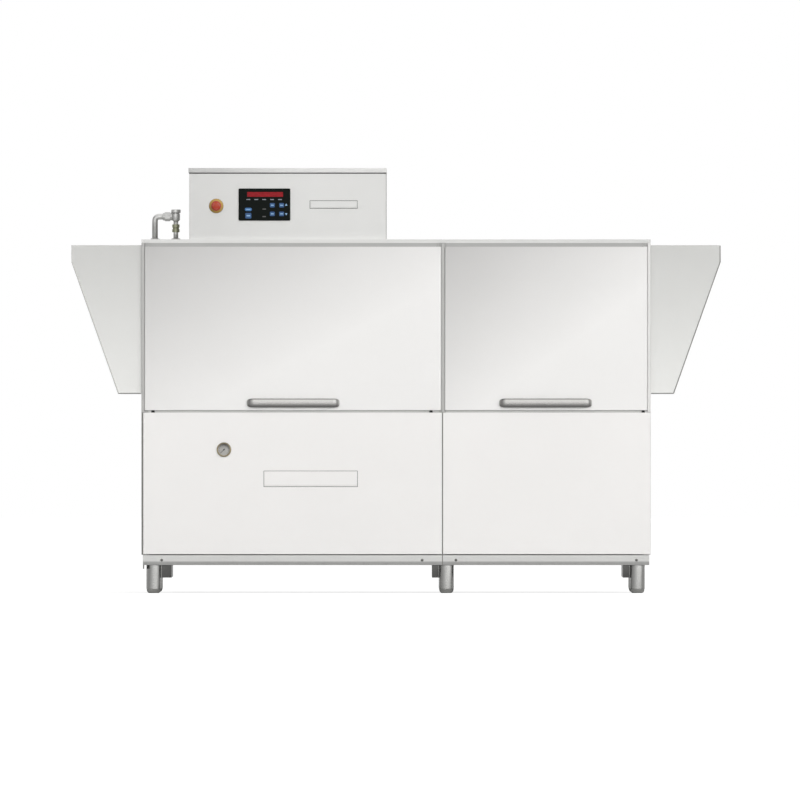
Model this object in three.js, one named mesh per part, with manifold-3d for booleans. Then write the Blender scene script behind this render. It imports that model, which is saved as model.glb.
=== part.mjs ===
// A rack-conveyor dishwasher in two modules, standing on six levelling feet.
// Millimetres, +Z up, +X to the right of someone at the doors, who looks along +Y.
// Depths are counted backwards from the front face of the doors, with depth().

import * as THREE from 'three';
import { mergeVertices } from 'three/addons/utils/BufferGeometryUtils.js';
import Module from 'manifold-3d';

// ---------------------------------------------------------------- driving dimensions

const BODY_HALF = 1092;
const SEAM_X = 199;
const BODY_DEPTH = 762;
const HANDLE_REACH = 45;
const FRONT_Y = HANDLE_REACH - (BODY_DEPTH + HANDLE_REACH) / 2;

const SHEET = 2;
const PLATE = 3;
const GAP = 0.3;

const LEG_RADIUS = 32;
const LEG_WALL = 3;
const LEG_DEPTHS = [47, 715];
const FOOT_TOP = 17.5;
const CHANNEL_BOTTOM = 66;
const RAIL_BOTTOM = 120;
const RAIL_TOP = 163;
const RAIL_WIDTH = 50;

const PANEL_BOTTOM = 167;
const PANEL_TOP = 774;
const PANEL_DEPTH = 20;
const DOOR_BOTTOM = 784;
const DOOR_TOP = 1485;
const DOOR_DEPTH = 25;
const DOOR_EDGE_GAP = 15;
const TONGUE = 5;
const GUIDE_WIDTH = 13;
const GROOVE = 4.5;
const HANDLE_LENGTH = 397;
const HANDLE_HEIGHT = 39;
const HANDLE_BAR = 9;

const WALL_FRONT = 29;
const WALL_BACK = 758;
const WALL_TOP = 1501.7;
const ROOF_BOTTOM = 1502;
const ROOF_TOP = 1517;
const ROOF_FRONT = 27;

const WINDOW_FRONT = 128;
const WINDOW_BACK = 658;
const WINDOW_BOTTOM = 860.5;
const WINDOW_TOP = 1350;
const CENTRE_WINDOW_BOTTOM = 815;
const LIP_REACH = 38;
const LIP_TOP = 858.5;

const HOOD_REACH = 300;
const HOOD_FOOT_REACH = 100;
const HOOD_BOTTOM = 854;
const HOOD_NOSE_BOTTOM = 1420;
const HOOD_TOP = 1492;
const HOOD_FRONT = 30;
const HOOD_BACK = 732;

const TANK_FRONT = 33;
const TANK_BACK = 755;
const TANK_BOTTOM = 470;
const TANK_TOP = 815;
const PUMP_DEPTH = 560;
const RISER_DEPTH = 715;
const ARM_TIP_DEPTH = 100;
const UPPER_ARM_Z = 1400;
const LOWER_ARM_Z = 752;
const FEED_Z = 425;
const WASH_X = -350;
const PREWASH_X = 645;
const RINSE_X = -949;
const RINSE_DEPTH = 500;

const TRACK_TOP = 864;
const BAR_BOTTOM = 815.5;
const BAR_HEIGHT = 24;
const BAR_FRONT = 380;
const BAR_WIDTH = 26;
const BAR_HALF = 1000;
const PAWL_XS = [-500, 60, 620];
const PAWL_PIVOT_Z = 833;
const DRIVE_X = -760;
const DRIVE_DEPTH = 700;

const BOX_LEFT = -888;
const BOX_RIGHT = -43;
const BOX_FRONT = 120;
const BOX_BACK = 735;
const BOX_TOP = 1803.5;
const LID_TOP = 1824;

// ---------------------------------------------------------------- finishes

const STAINLESS = { color: 0xdedcd8, roughness: 0.38, metalness: 0.9 };
const STAINLESS_SHADED = { color: 0xb9bab8, roughness: 0.45, metalness: 0.9 };
const POLISHED = { color: 0xe4e4e2, roughness: 0.15, metalness: 1 };
const GREY_IRON = { color: 0x6d7175, roughness: 0.7, metalness: 0.4 };
const BRASS = { color: 0xb49a5a, roughness: 0.35, metalness: 1 };
const BLACK_PLASTIC = { color: 0x14151a, roughness: 0.35, metalness: 0 };
const BLUE_KEY = { color: 0x1d5fa8, roughness: 0.5, metalness: 0 };
const YELLOW_PLASTIC = { color: 0xe0b34a, roughness: 0.45, metalness: 0 };
const RED_PLASTIC = { color: 0xc8321e, roughness: 0.4, metalness: 0 };
const CURTAIN_RUBBER = { color: 0x9aa3a6, roughness: 0.6, metalness: 0 };

// ---------------------------------------------------------------- small helpers

const wasm = await Module();
wasm.setup();

const machine = new THREE.Group();

function depth(distance) {
  return FRONT_Y + distance;
}

function place(name, geometry, finish, x = 0, y = 0, z = 0) {
  const mesh = new THREE.Mesh(geometry, new THREE.MeshStandardMaterial(finish));
  mesh.name = name;
  mesh.position.set(x, y, z);
  machine.add(mesh);
  return mesh;
}

function toManifold(geometry) {
  const bare = geometry.clone();
  bare.deleteAttribute('normal');
  bare.deleteAttribute('uv');
  const merged = mergeVertices(bare, 1e-4);
  const vertProperties = Float32Array.from(merged.attributes.position.array);
  const triVerts = Uint32Array.from(merged.index.array);
  return new wasm.Manifold(new wasm.Mesh({ numProp: 3, vertProperties, triVerts }));
}

function toGeometry(solid) {
  const { vertProperties, triVerts } = solid.getMesh();
  const geometry = new THREE.BufferGeometry();
  geometry.setAttribute('position', new THREE.BufferAttribute(vertProperties, 3));
  geometry.setIndex(new THREE.BufferAttribute(triVerts, 1));
  return geometry;
}

function join(...pieces) {
  return toGeometry(pieces.map(toManifold).reduce((whole, piece) => whole.add(piece)));
}

function cut(base, ...tools) {
  return toGeometry(tools.map(toManifold).reduce((rest, tool) => rest.subtract(tool), toManifold(base)));
}

// A box from its low and high limits along each axis.
function block([x0, x1], [y0, y1], [z0, z1]) {
  const box = new THREE.BoxGeometry(x1 - x0, y1 - y0, z1 - z0);
  return box.translate((x0 + x1) / 2, (y0 + y1) / 2, (z0 + z1) / 2);
}

// A round bar from one point to another, with a second radius where it tapers.
function rod(from, to, radius, sides = 12, endRadius = radius) {
  const start = new THREE.Vector3(...from);
  const end = new THREE.Vector3(...to);
  const along = end.clone().sub(start);
  const bar = new THREE.CylinderGeometry(endRadius, radius, along.length(), sides);
  const up = new THREE.Vector3(0, 1, 0);
  bar.applyQuaternion(new THREE.Quaternion().setFromUnitVectors(up, along.normalize()));
  const middle = start.add(end).multiplyScalar(0.5);
  return bar.translate(middle.x, middle.y, middle.z);
}

// A turned piece about Z, from [radius, height] points.
function turned(points, segments = 24) {
  const profile = points.map(([radius, height]) => new THREE.Vector2(radius, height));
  return new THREE.LatheGeometry(profile, segments).rotateX(Math.PI / 2);
}

function outline(points) {
  return new THREE.Shape(points.map(([x, y]) => new THREE.Vector2(x, y)));
}

// An outline in X and Z, drawn out along +Y from y = 0.
function alongY(shape, length, curveSegments = 3) {
  const solid = new THREE.ExtrudeGeometry(shape, { depth: length, bevelEnabled: false, curveSegments });
  return solid.rotateX(Math.PI / 2).translate(0, length, 0);
}

// An outline in Y and Z, drawn out along +X from x = 0.
function alongX(shape, length) {
  const solid = new THREE.ExtrudeGeometry(shape, { depth: length, bevelEnabled: false });
  return solid.rotateX(Math.PI / 2).rotateZ(Math.PI / 2);
}

function roundedRectangle(width, height, radius) {
  const shape = new THREE.Shape();
  const x = width / 2;
  const y = height / 2;
  shape.moveTo(-x + radius, -y);
  shape.lineTo(x - radius, -y);
  shape.absarc(x - radius, -y + radius, radius, -Math.PI / 2, 0);
  shape.lineTo(x, y - radius);
  shape.absarc(x - radius, y - radius, radius, 0, Math.PI / 2);
  shape.lineTo(-x + radius, y);
  shape.absarc(-x + radius, y - radius, radius, Math.PI / 2, Math.PI);
  shape.lineTo(-x, -y + radius);
  shape.absarc(-x + radius, -y + radius, radius, Math.PI, 1.5 * Math.PI);
  return shape;
}

// A folded sheet pan: five walls, open towards +Y.
function panOpenBack(xs, ys, zs) {
  const pocket = block(
    [xs[0] + SHEET, xs[1] - SHEET],
    [ys[0] + SHEET, ys[1] + 1],
    [zs[0] + SHEET, zs[1] - SHEET],
  );
  return cut(block(xs, ys, zs), pocket);
}

// ---------------------------------------------------------------- base, legs and feet

function addBaseRails() {
  const lip = 16;
  const channel = outline([
    [0, 0], [RAIL_WIDTH, 0], [RAIL_WIDTH, lip], [RAIL_WIDTH - PLATE, lip],
    [RAIL_WIDTH - PLATE, PLATE], [PLATE, PLATE], [PLATE, RAIL_TOP - RAIL_BOTTOM - PLATE],
    [RAIL_WIDTH, RAIL_TOP - RAIL_BOTTOM - PLATE], [RAIL_WIDTH, RAIL_TOP - RAIL_BOTTOM],
    [0, RAIL_TOP - RAIL_BOTTOM],
  ]);
  const half = BODY_HALF - 6;
  place('base_rail_front', alongX(channel, 2 * half), STAINLESS, -half, depth(10), RAIL_BOTTOM);
  const rear = place('base_rail_rear', alongX(channel, 2 * half), STAINLESS, half, depth(752), RAIL_BOTTOM);
  rear.rotation.z = Math.PI;
}

// A cross channel with a leg tube welded beside each of its ends.
function legFrame(channelLow, channelHigh) {
  const top = RAIL_BOTTOM - GAP;
  const bottom = FOOT_TOP + GAP;
  const channel = outline([
    [channelLow, CHANNEL_BOTTOM], [channelHigh, CHANNEL_BOTTOM], [channelHigh, top], [channelLow, top],
  ]);
  const legs = LEG_DEPTHS.map((d) => rod([0, d, bottom], [0, d, top], LEG_RADIUS, 24));
  const bores = LEG_DEPTHS.map((d) => (
    rod([0, d, bottom - 1], [0, d, top - PLATE], LEG_RADIUS - LEG_WALL, 24)
  ));
  const length = LEG_DEPTHS[1] - LEG_DEPTHS[0];
  const bar = alongY(channel, length).translate(0, LEG_DEPTHS[0], 0);
  const hollow = block(
    [channelLow + PLATE, channelHigh - PLATE],
    [LEG_DEPTHS[0] + LEG_RADIUS, LEG_DEPTHS[1] - LEG_RADIUS],
    [CHANNEL_BOTTOM - 1, top - PLATE],
  );
  return cut(join(bar, ...legs), hollow, ...bores);
}

function footProfile() {
  const stem = 12;
  const stemTop = 82;
  return [
    [0, 0], [21, 0], [26, 3], [29.5, 9], [31, FOOT_TOP], [stem, FOOT_TOP],
    [stem, stemTop], [0, stemTop],
  ];
}

function addLegs() {
  const frames = [
    { name: 'left', x: -1039, low: 22, high: 76 },
    { name: 'centre', x: 216, low: -62, high: -24 },
    { name: 'right', x: 1035, low: -62, high: -26 },
  ];
  for (const { name, x, low, high } of frames) {
    place(`leg_frame_${name}`, legFrame(low, high), STAINLESS_SHADED, x, FRONT_Y, 0);
    LEG_DEPTHS.forEach((d, row) => {
      const side = row === 0 ? 'front' : 'rear';
      place(`foot_${name}_${side}`, turned(footProfile(), 16), STAINLESS_SHADED, x, depth(d), 0);
    });
  }
}

// ---------------------------------------------------------------- walls, roof and rear panel

function wallPlate(windowBottom) {
  const wall = outline([
    [WALL_FRONT, RAIL_TOP + GAP], [WALL_BACK, RAIL_TOP + GAP],
    [WALL_BACK, WALL_TOP], [WALL_FRONT, WALL_TOP],
  ]);
  wall.holes.push(outline([
    [WINDOW_FRONT, windowBottom], [WINDOW_BACK, windowBottom],
    [WINDOW_BACK, WINDOW_TOP], [WINDOW_FRONT, WINDOW_TOP],
  ]));
  return alongX(wall, PLATE);
}

// The guide is a post on the wall's front edge, with a groove for the door's tongue.
function guidePost(low, grooves) {
  const front = 2;
  const postBottom = PANEL_TOP + 2;
  const post = block([low, low + GUIDE_WIDTH], [front, WALL_FRONT + 1], [postBottom, WALL_TOP - 2]);
  return cut(post, ...grooves.map((side) => {
    const xs = side < 0 ? [low - 1, low + GROOVE] : [low + GUIDE_WIDTH - GROOVE, low + GUIDE_WIDTH + 1];
    return block(xs, [8, 18], [DOOR_BOTTOM - 3, WALL_TOP]);
  }));
}

function addWalls() {
  const flange = 30;
  const lip = [LIP_TOP - PLATE, LIP_TOP];
  const flangeDepths = [WALL_FRONT, WALL_FRONT + PLATE];
  const heights = [RAIL_TOP + GAP, WALL_TOP];
  const left = -BODY_HALF;
  const unload = join(
    wallPlate(WINDOW_BOTTOM).translate(left, 0, 0),
    block([left, left + flange], flangeDepths, heights),
    block([left - LIP_REACH, left + 1], [WINDOW_FRONT, WINDOW_BACK], lip),
    guidePost(left, [1]),
  );
  place('unload_end_wall', unload, STAINLESS, 0, FRONT_Y, 0);

  const right = BODY_HALF;
  const load = join(
    wallPlate(WINDOW_BOTTOM).translate(right - PLATE, 0, 0),
    block([right - flange, right], flangeDepths, heights),
    block([right - 1, right + LIP_REACH], [WINDOW_FRONT, WINDOW_BACK], lip),
    guidePost(right - GUIDE_WIDTH, [-1]),
  );
  place('load_end_wall', load, STAINLESS, 0, FRONT_Y, 0);

  const centreGuide = SEAM_X + 2.5 - GUIDE_WIDTH / 2;
  const centre = join(
    wallPlate(CENTRE_WINDOW_BOTTOM).translate(SEAM_X - PLATE / 2, 0, 0),
    block([SEAM_X - flange / 2, SEAM_X + flange / 2], flangeDepths, heights),
    guidePost(centreGuide, [-1, 1]),
  );
  place('centre_wall', centre, STAINLESS, 0, FRONT_Y, 0);
}

// Flanges of the roof sheet that close the gap above each door, clear of the guide posts.
const DOOR_HEADERS = [[-BODY_HALF + 32, SEAM_X - 17], [SEAM_X + 17, BODY_HALF - 32]];

function addRoof() {
  const xs = [-BODY_HALF, BODY_HALF];
  const depths = [ROOF_FRONT, BODY_DEPTH];
  const sheet = block(xs, depths, [ROOF_BOTTOM, ROOF_TOP]);
  const underside = block(
    [xs[0] + SHEET, xs[1] - SHEET],
    [depths[0] + SHEET, depths[1] - SHEET],
    [ROOF_BOTTOM - 1, ROOF_TOP - SHEET],
  );
  const seam = block([SEAM_X - 1, SEAM_X + 1], [0, BODY_DEPTH + 1], [ROOF_TOP - 0.8, ROOF_TOP + 1]);
  const shaftHole = rod(
    [DRIVE_X, DRIVE_DEPTH, ROOF_BOTTOM - 1], [DRIVE_X, DRIVE_DEPTH, ROOF_TOP + 1], 20, 20,
  );
  const shell = cut(sheet, underside, seam, shaftHole);
  const headers = DOOR_HEADERS.map((headerXs) => block(
    headerXs, [ROOF_FRONT, ROOF_FRONT + SHEET - GAP], [DOOR_TOP - 22, ROOF_BOTTOM + 1],
  ));
  place('roof_panel', join(shell, ...headers), STAINLESS, 0, FRONT_Y, 0);
}

function addRearPanel() {
  const half = BODY_HALF - 4;
  const panel = block([-half, half], [WALL_BACK + 1, BODY_DEPTH], [RAIL_TOP + GAP, WALL_TOP]);
  place('rear_panel', panel, STAINLESS, 0, FRONT_Y, 0);
}

// ---------------------------------------------------------------- hoods

function hoodShell() {
  const outer = outline([
    [0, HOOD_TOP], [0, HOOD_BOTTOM], [HOOD_FOOT_REACH, HOOD_BOTTOM],
    [HOOD_REACH, HOOD_NOSE_BOTTOM], [HOOD_REACH, HOOD_TOP],
  ]);
  const inner = outline([
    [-10, HOOD_TOP - SHEET], [-10, HOOD_BOTTOM - 10], [HOOD_REACH + 10, HOOD_BOTTOM - 10],
    [HOOD_REACH + 10, HOOD_NOSE_BOTTOM], [HOOD_REACH - SHEET, HOOD_NOSE_BOTTOM],
    [HOOD_REACH - SHEET, HOOD_TOP - SHEET],
  ]);
  const width = HOOD_BACK - HOOD_FRONT;
  return cut(alongY(outer, width), alongY(inner, width - 2 * SHEET).translate(0, SHEET, 0));
}

function addHoods() {
  place('load_hood', hoodShell(), STAINLESS, BODY_HALF + GAP, depth(HOOD_FRONT), 0);
  const unload = place('unload_hood', hoodShell(), STAINLESS, -BODY_HALF - GAP, depth(HOOD_BACK), 0);
  unload.rotation.z = Math.PI;
}

// ---------------------------------------------------------------- lower panels, doors, handles

function addLowerPanels() {
  const heights = [PANEL_BOTTOM, PANEL_TOP];
  const depths = [0, PANEL_DEPTH];
  const panels = { front_panel_left: [-1084, SEAM_X - 2], front_panel_right: [SEAM_X + 2, 1090] };
  for (const [name, xs] of Object.entries(panels)) {
    place(name, panOpenBack(xs, depths, heights), STAINLESS, 0, FRONT_Y, 0);
  }
}

// A door is a folded pan with a tongue along each side.
function door(low, high) {
  const heights = [DOOR_BOTTOM, DOOR_TOP];
  const tongueDepths = [10, 16];
  return join(
    panOpenBack([low, high], [0, DOOR_DEPTH], heights),
    block([low - TONGUE, low + 1], tongueDepths, heights),
    block([high - 1, high + TONGUE], tongueDepths, heights),
  );
}

// A flat bar bent into a bow, with its ends towards the door.
function bowHandle() {
  const half = HANDLE_LENGTH / 2;
  const reach = HANDLE_REACH - GAP;
  const bend = 26;
  const inner = bend - HANDLE_BAR;
  const bow = new THREE.Shape();
  bow.moveTo(-half, 0);
  bow.lineTo(-half, reach - bend);
  bow.absarc(-half + bend, reach - bend, bend, Math.PI, Math.PI / 2, true);
  bow.lineTo(half - bend, reach);
  bow.absarc(half - bend, reach - bend, bend, Math.PI / 2, 0, true);
  bow.lineTo(half, 0);
  bow.lineTo(half - HANDLE_BAR, 0);
  bow.lineTo(half - HANDLE_BAR, reach - bend);
  bow.absarc(half - bend, reach - bend, inner, 0, Math.PI / 2);
  bow.lineTo(-half + bend, reach - HANDLE_BAR);
  bow.absarc(-half + bend, reach - bend, inner, Math.PI / 2, Math.PI);
  bow.lineTo(-half + HANDLE_BAR, 0);
  const bar = new THREE.ExtrudeGeometry(bow, { depth: HANDLE_HEIGHT, bevelEnabled: false, curveSegments: 6 });
  return bar.rotateX(Math.PI).translate(0, 0, HANDLE_HEIGHT);
}

function addDoors() {
  const doors = [
    { side: 'left', low: -BODY_HALF + DOOR_EDGE_GAP, high: SEAM_X - 6, handle: -441 },
    { side: 'right', low: SEAM_X + 11, high: BODY_HALF - DOOR_EDGE_GAP, handle: 641 },
  ];
  for (const { side, low, high, handle } of doors) {
    place(`door_${side}`, door(low, high), STAINLESS, 0, FRONT_Y, 0);
    place(`door_handle_${side}`, bowHandle(), POLISHED, handle, depth(-GAP), DOOR_BOTTOM + 12);
  }
}

// ---------------------------------------------------------------- tanks and scrap baskets

function tank(low, high, pumpX, tieXs) {
  const shell = block([low, high], [TANK_FRONT, TANK_BACK], [TANK_BOTTOM, TANK_TOP]);
  const inside = block(
    [low + SHEET, high - SHEET],
    [TANK_FRONT + SHEET, TANK_BACK - SHEET],
    [TANK_BOTTOM + SHEET, TANK_TOP + 1],
  );
  const drains = [
    rod([pumpX, PUMP_DEPTH, TANK_BOTTOM - 1], [pumpX, PUMP_DEPTH, TANK_BOTTOM + 9], 26, 20),
    rod([pumpX, RISER_DEPTH, TANK_BOTTOM - 1], [pumpX, RISER_DEPTH, TANK_BOTTOM + 9], 27, 20),
  ];
  const ties = tieXs.map((x) => (
    block([x, x + 20], [TANK_FRONT + 1, TANK_BACK - 1], [TANK_TOP - 13, TANK_TOP - 1])
  ));
  return join(cut(shell, inside, ...drains), ...ties);
}

function scrapBasket(width) {
  const depths = [38, 126];
  const height = 76;
  const slot = 7;
  const slots = [];
  for (let x = 12; x < width - 12 - slot; x += 2 * slot) {
    slots.push(block([x, x + slot], [depths[0] + 14, depths[1] - 14], [-1, SHEET + 1]));
  }
  const shell = block([0, width], depths, [0, height]);
  const inside = block(
    [SHEET, width - SHEET], [depths[0] + SHEET, depths[1] - SHEET], [SHEET, height + 1],
  );
  return cut(shell, inside, ...slots);
}

function addTanks() {
  const wash = tank(-BODY_HALF + 6, SEAM_X - 5, WASH_X, [-900, -40]);
  place('wash_tank', wash, STAINLESS_SHADED, 0, FRONT_Y, 0);
  const prewash = tank(SEAM_X + 5, BODY_HALF - 6, PREWASH_X, [300, 860]);
  place('prewash_tank', prewash, STAINLESS_SHADED, 0, FRONT_Y, 0);
  const basketZ = TANK_TOP - 80;
  place('wash_scrap_basket', scrapBasket(165), STAINLESS, 0, FRONT_Y, basketZ);
  place('prewash_scrap_basket', scrapBasket(165), STAINLESS, 905, FRONT_Y, basketZ);
}

// ---------------------------------------------------------------- spray manifolds

// One level of arms on a header, with nozzles towards the rack.
function sprayLevel(z, armXs, up, nozzles) {
  const pieces = [];
  const first = armXs[0];
  const last = armXs[armXs.length - 1];
  if (armXs.length > 1) {
    pieces.push(rod([first - 24, RISER_DEPTH, z], [last + 24, RISER_DEPTH, z], 19));
  }
  for (const x of armXs) {
    pieces.push(rod([x, ARM_TIP_DEPTH, z], [x, RISER_DEPTH, z], 15, 10));
    for (let i = 0; i < nozzles; i += 1) {
      const d = ARM_TIP_DEPTH + 60 + (i * 440) / (nozzles - 1);
      pieces.push(rod([x, d, z], [x, d, z + up * 22], 8, 5, 5));
    }
  }
  return pieces;
}

// Upper and lower arms fed by one riser behind the racks, with a feed from the pump.
function washManifold() {
  const armXs = [-225, -75, 75, 225];
  const pumpOutlet = PUMP_DEPTH + 96;
  return join(
    rod([0, RISER_DEPTH, FEED_Z - 22], [0, RISER_DEPTH, UPPER_ARM_Z + 10], 24, 16),
    rod([0, pumpOutlet, FEED_Z], [0, RISER_DEPTH, FEED_Z], 20, 16),
    ...sprayLevel(UPPER_ARM_Z, armXs, -1, 3),
    ...sprayLevel(LOWER_ARM_Z, armXs, 1, 3),
  );
}

function rinseManifold() {
  const lower = LOWER_ARM_Z + 20;
  return join(
    rod([0, RINSE_DEPTH, UPPER_ARM_Z], [0, RINSE_DEPTH, ROOF_TOP - SHEET - 2 * GAP], 10.5),
    rod([0, RISER_DEPTH, lower - 6], [0, RISER_DEPTH, UPPER_ARM_Z + 6], 13),
    ...sprayLevel(UPPER_ARM_Z, [0], -1, 4),
    ...sprayLevel(lower, [0], 1, 4),
  );
}

function addManifolds() {
  place('wash_manifold', washManifold(), STAINLESS_SHADED, WASH_X, FRONT_Y, 0);
  place('prewash_manifold', washManifold(), STAINLESS_SHADED, PREWASH_X, FRONT_Y, 0);
  place('final_rinse_manifold', rinseManifold(), STAINLESS_SHADED, RINSE_X, FRONT_Y, 0);
}

// ---------------------------------------------------------------- pumps

// Casing and motor on one vertical axis; the suction mouth is at the top, at z = 0.
function pumpBody() {
  return turned([
    [0, -264], [60, -264], [72, -250], [72, -80], [94, -74], [94, -22], [32, -20], [32, -14],
    [44, -8], [44, -1], [22, -1], [22, -28], [80, -30], [80, -70], [0, -70],
  ], 20);
}

function impeller() {
  const vanes = [];
  for (let i = 0; i < 5; i += 1) {
    const vane = block([14, 72], [-2, 2], [-60, -42]);
    vanes.push(vane.rotateZ((i * 2 * Math.PI) / 5));
  }
  return join(rod([0, 0, -66], [0, 0, -58], 74, 24), rod([0, 0, -62], [0, 0, -38], 16, 12), ...vanes);
}

function addPumps() {
  for (const [name, x] of [['wash', WASH_X], ['prewash', PREWASH_X]]) {
    place(`${name}_pump`, pumpBody(), GREY_IRON, x, depth(PUMP_DEPTH), TANK_BOTTOM);
    place(`${name}_pump_impeller`, impeller(), BRASS, x, depth(PUMP_DEPTH), TANK_BOTTOM);
  }
}

// ---------------------------------------------------------------- rack conveyor

function addTracks() {
  const reach = BODY_HALF;
  const ledge = 28;
  const side = 25;
  const angle = outline([
    [0, 0], [ledge, 0], [ledge, PLATE], [PLATE, PLATE], [PLATE, side + PLATE], [0, side + PLATE],
  ]);
  const bottom = TRACK_TOP - PLATE;
  const front = WINDOW_FRONT + 5;
  const back = WINDOW_BACK - 5;
  place('rack_track_front', alongX(angle, 2 * reach), STAINLESS, -reach, depth(front), bottom);
  const rear = place('rack_track_rear', alongX(angle, 2 * reach), STAINLESS, reach, depth(back), bottom);
  rear.rotation.z = Math.PI;
}

// The bar carries a pivot pin for each pawl and an upright pin for the fork arm.
function pawlBar() {
  const middle = BAR_FRONT + BAR_WIDTH / 2;
  const top = BAR_BOTTOM + BAR_HEIGHT;
  const pins = PAWL_XS.map((x) => (
    rod([x, middle, PAWL_PIVOT_Z], [x, BAR_FRONT + BAR_WIDTH + 11, PAWL_PIVOT_Z], 4, 12)
  ));
  return join(
    block([-BAR_HALF, BAR_HALF], [BAR_FRONT, BAR_FRONT + BAR_WIDTH], [BAR_BOTTOM, top]),
    rod([DRIVE_X, middle, top - 1], [DRIVE_X, middle, top + 17], 6, 16),
    ...pins,
  );
}

function pawl() {
  const shape = outline([
    [-12, 0], [-9, -8], [0, -11], [46, -11], [46, 5], [12, 9], [-3, 50], [-14, 50],
  ]);
  const bore = new THREE.Path();
  bore.absarc(0, 0, 4.6, 0, 2 * Math.PI);
  shape.holes.push(bore);
  return alongY(shape, 8, 6);
}

// A vertical shaft with a fork arm that reaches the pin on the pawl bar.
function driveShaft() {
  const arm = DRIVE_DEPTH - (BAR_FRONT + BAR_WIDTH / 2);
  const armZ = [BAR_BOTTOM + BAR_HEIGHT + 3.5, BAR_BOTTOM + BAR_HEIGHT + 13.5];
  const fork = block([-20, 20], [-arm - 22, 0], armZ);
  const slot = block([-9, 9], [-arm - 23, -arm + 22], [armZ[0] - 1, armZ[1] + 1]);
  return join(
    cut(fork, slot),
    rod([0, 0, armZ[0] - 8], [0, 0, armZ[1] + 8], 24, 20),
    rod([0, 0, armZ[0]], [0, 0, ROOF_TOP + 12.5], 12, 16),
  );
}

// Gearbox over the shaft, with the motor lying beside it.
function gearmotor() {
  const axis = -28;
  const height = 60;
  return join(
    block([-55, 55], [-70, 24], [0, 110]),
    rod([50, axis, height], [270, axis, height], 50, 24),
    rod([268, axis, height], [290, axis, height], 42, 24),
  );
}

function addConveyor() {
  place('pawl_bar', pawlBar(), STAINLESS_SHADED, 0, FRONT_Y, 0);
  const pawlDepth = depth(BAR_FRONT + BAR_WIDTH + 1);
  PAWL_XS.forEach((x, i) => {
    place(`pawl_${i + 1}`, pawl(), STAINLESS_SHADED, x, pawlDepth, PAWL_PIVOT_Z);
  });
  place('drive_shaft', driveShaft(), STAINLESS_SHADED, DRIVE_X, depth(DRIVE_DEPTH), 0);
  place('drive_gearmotor', gearmotor(), GREY_IRON, DRIVE_X, depth(DRIVE_DEPTH), ROOF_TOP + 13);
}

// ---------------------------------------------------------------- strip curtains

function addCurtains() {
  const top = WINDOW_TOP - 10;
  const bottom = WINDOW_BOTTOM + 26;
  const depths = [WINDOW_FRONT + 16, WINDOW_BACK - 16];
  const curtain = () => join(
    block([-1.5, 1.5], [depths[0], depths[1]], [bottom - top, 0]),
    rod([0, depths[0] - 10, 0], [0, depths[1] + 10, 0], 6, 10),
  );
  const inset = BODY_HALF - 22;
  place('unload_curtain', curtain(), CURTAIN_RUBBER, -inset, FRONT_Y, top);
  place('load_curtain', curtain(), CURTAIN_RUBBER, inset, FRONT_Y, top);
}

// ---------------------------------------------------------------- control box

function addControlBox() {
  const bottom = ROOF_TOP + GAP;
  const shell = block([BOX_LEFT, BOX_RIGHT], [BOX_FRONT, BOX_BACK], [bottom, BOX_TOP]);
  const inside = block(
    [BOX_LEFT + SHEET, BOX_RIGHT - SHEET],
    [BOX_FRONT + SHEET, BOX_BACK - SHEET],
    [bottom + SHEET, BOX_TOP + 1],
  );
  const shaftHole = rod(
    [DRIVE_X, DRIVE_DEPTH, bottom - 1], [DRIVE_X, DRIVE_DEPTH, bottom + SHEET + 1], 20, 20,
  );
  place('control_box_case', cut(shell, inside, shaftHole), STAINLESS, 0, FRONT_Y, 0);

  const overhang = 3;
  const lidXs = [BOX_LEFT - overhang, BOX_RIGHT + overhang];
  const lidDepths = [BOX_FRONT - overhang, BOX_BACK + overhang];
  const lidBottom = BOX_TOP + GAP;
  const lid = cut(
    block(lidXs, lidDepths, [lidBottom, LID_TOP]),
    block(
      [lidXs[0] + SHEET, lidXs[1] - SHEET],
      [lidDepths[0] + SHEET, lidDepths[1] - SHEET],
      [lidBottom - 1, LID_TOP - SHEET],
    ),
  );
  place('control_box_lid', lid, STAINLESS, 0, FRONT_Y, 0);
}

// Keys by name: centre, width and height on the face of the keypad.
const KEYS = [
  { name: 'key_start', x: -634, z: 1646, width: 30, height: 14, radius: 6.9 },
  { name: 'key_stop', x: -634, z: 1619, width: 26, height: 24, radius: 4 },
  { name: 'key_upper_left', x: -531, z: 1664, width: 21, height: 19, radius: 4 },
  { name: 'key_upper_right', x: -491, z: 1664, width: 21, height: 19, radius: 4 },
  { name: 'key_lower_left', x: -531, z: 1627, width: 21, height: 19, radius: 4 },
  { name: 'key_lower_right', x: -491, z: 1627, width: 21, height: 19, radius: 4 },
];

function addKeypad() {
  const bezel = { low: -676, high: -454, bottom: 1598, top: 1736, thickness: 10 };
  const width = bezel.high - bezel.low;
  const height = bezel.top - bezel.bottom;
  const x = (bezel.low + bezel.high) / 2;
  const z = (bezel.bottom + bezel.top) / 2;
  const pocketDepth = 6.5;
  const clearance = 0.5;
  const pocket = (shape, deep) => alongY(shape, deep + 1).translate(0, -1, 0);
  const pockets = KEYS.map((key) => {
    const shape = roundedRectangle(
      key.width + 2 * clearance, key.height + 2 * clearance, key.radius + clearance,
    );
    return pocket(shape, pocketDepth).translate(key.x - x, 0, key.z - z);
  });
  const window = pocket(roundedRectangle(156, 23, 2), 2).translate(-562 - x, 0, 1710.5 - z);
  const plate = alongY(roundedRectangle(width, height, 5), bezel.thickness);
  const face = depth(BOX_FRONT - GAP - bezel.thickness);
  place('keypad_bezel', cut(plate, window, ...pockets), BLACK_PLASTIC, x, face, z);
  for (const key of KEYS) {
    const cap = alongY(roundedRectangle(key.width, key.height, key.radius), 6);
    place(key.name, cap, BLUE_KEY, key.x, face - 1, key.z);
  }
}

// Turned about Y: the profile's height points forwards, out of the box.
function turnedForward(points, segments) {
  return turned(points, segments).rotateX(Math.PI / 2);
}

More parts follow.
